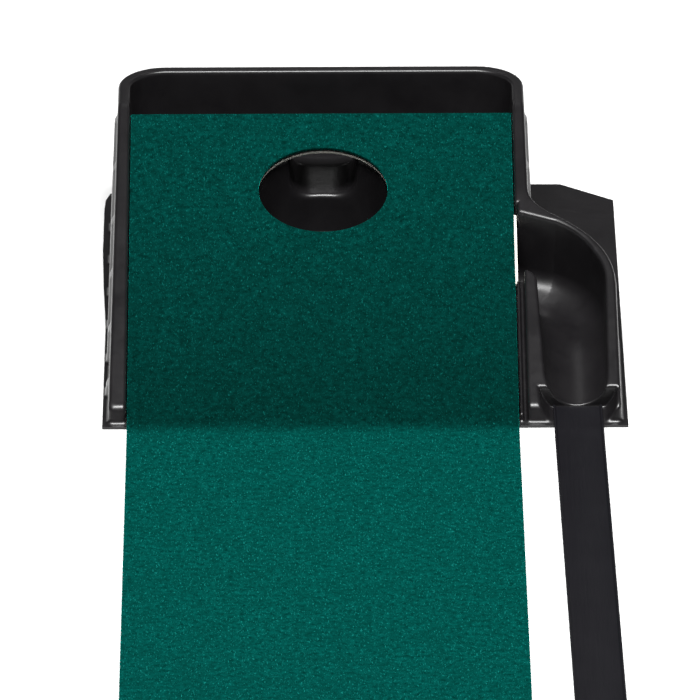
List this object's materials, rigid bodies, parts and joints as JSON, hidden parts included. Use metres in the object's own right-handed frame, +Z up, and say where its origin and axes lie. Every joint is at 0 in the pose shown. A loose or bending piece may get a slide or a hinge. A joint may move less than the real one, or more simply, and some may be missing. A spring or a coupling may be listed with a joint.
{
  "type": "practice putting mat",
  "caption": "Felt putting mat that climbs a short ramp to a hole, in a black formed tray with a back pocket, ball exit and side chute that feeds a return track.",
  "frame": {"origin": "Middle of the whole footprint, on the floor.", "axes": "+Y runs along the mat towards the ramp and back pocket, the way the ball is putted; +X points to the side with the ball return; +Z is up."},
  "size_m": [0.4134, 2.5252, 0.117],
  "materials": {
    "tray_plastic": "black vacuum-formed sheet, satin gloss with a fine grain",
    "track_plastic": "black extruded strip, dull",
    "felt": "dark blue-green needle felt with a short even pile",
    "backing": "dark latex backing, matte",
    "board": "off-white rigid sheet with cut edges",
    "hook_tape": "black hook tape",
    "loop_tape": "black loop tape"
  },
  "bodies": {
    "tray": {"tray": "tray_plastic", "mat_pile_runner": "felt", "mat_backing_runner": "backing", "hook_tape_front_left": "hook_tape", "hook_tape_front_right": "hook_tape", "hook_tape_back_left": "hook_tape", "hook_tape_back_right": "hook_tape"},
    "ramp": {"ramp_board": "board", "mat_pile_ramp": "felt", "mat_backing_ramp": "backing", "loop_tape_front_left": "loop_tape", "loop_tape_front_right": "loop_tape", "loop_tape_back_left": "loop_tape", "loop_tape_back_right": "loop_tape"},
    "track": {"return_track": "track_plastic"}
  },
  "joints": [
    {"name": "ramp_lift", "type": "hinge", "parent": "tray", "child": "ramp", "pos_m": [-0.03075, 0.79676, 0.0045], "axis": [1, 0, 0], "range_deg": [0, 70]},
    {"name": "track_slide", "type": "slide", "parent": "tray", "child": "track", "axis": [0.0091, -1, 0], "range_m": [0, 0.12]}
  ]
}
